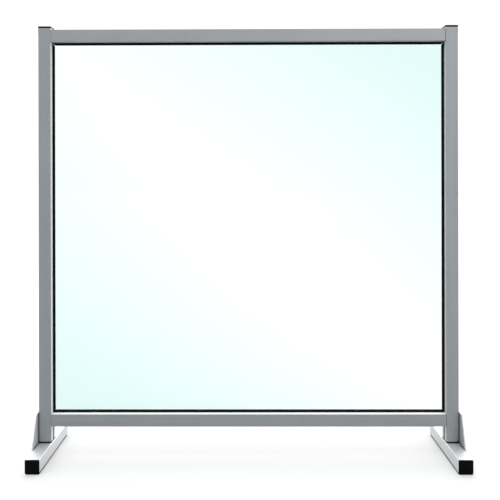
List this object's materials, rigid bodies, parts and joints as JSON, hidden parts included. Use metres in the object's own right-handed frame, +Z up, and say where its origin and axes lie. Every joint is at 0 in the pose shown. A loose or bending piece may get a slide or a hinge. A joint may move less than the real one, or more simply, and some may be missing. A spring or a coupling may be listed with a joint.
{
  "type": "sneeze guard",
  "caption": "Free-standing counter guard: a clear sheet in a grooved aluminium frame, on two rectangular-tube feet with gusset plates and black plastic end caps.",
  "frame": {"origin": "on the counter, under the middle of the guard", "axes": "+Z up, +X along the guard's width to the right as seen from the front, the front faces -Y"},
  "size_m": [0.9276, 0.25, 0.9381],
  "materials": {
    "anodised_profile": "satin anodised",
    "anodised_foot": "satin anodised",
    "anodised_plate": "brushed and anodised",
    "clear_acrylic": "polished, clear",
    "glazing_rubber": "matt extruded",
    "strip_rubber": "matt",
    "black_nylon": "fine moulded grain",
    "zinc_plated_steel": "bright zinc plated",
    "brass_bush": "turned"
  },
  "bodies": {
    "root": {"left_post": "anodised_profile", "right_post": "anodised_profile", "top_rail": "anodised_profile", "bottom_rail": "anodised_profile", "clear_panel": "clear_acrylic", "left_gasket": "glazing_rubber", "right_gasket": "glazing_rubber", "top_gasket": "glazing_rubber", "bottom_gasket": "glazing_rubber", "left_post_cap": "black_nylon", "right_post_cap": "black_nylon", "left_post_insert": "black_nylon", "right_post_insert": "black_nylon", "left_threaded_bush": "brass_bush", "right_threaded_bush": "brass_bush", "left_base_bolt": "zinc_plated_steel", "right_base_bolt": "zinc_plated_steel", "left_base_washer": "zinc_plated_steel", "right_base_washer": "zinc_plated_steel", "left_foot_tube": "anodised_foot", "right_foot_tube": "anodised_foot", "left_foot_front_cap": "black_nylon", "right_foot_front_cap": "black_nylon", "left_foot_rear_cap": "black_nylon", "right_foot_rear_cap": "black_nylon", "left_foot_strip": "strip_rubber", "right_foot_strip": "strip_rubber", "left_foot_access_plug": "black_nylon", "right_foot_access_plug": "black_nylon", "left_gusset_plate": "anodised_plate", "right_gusset_plate": "anodised_plate", "left_gusset_spacers": "black_nylon", "right_gusset_spacers": "black_nylon", "left_gusset_screws": "zinc_plated_steel", "right_gusset_screws": "zinc_plated_steel", "left_post_nut_plate": "zinc_plated_steel", "right_post_nut_plate": "zinc_plated_steel", "left_foot_nut_plate": "zinc_plated_steel", "right_foot_nut_plate": "zinc_plated_steel", "top_rail_screws": "zinc_plated_steel", "bottom_rail_screws": "zinc_plated_steel", "left_post_hole_plugs": "black_nylon", "right_post_hole_plugs": "black_nylon"}
  },
  "joints": []
}
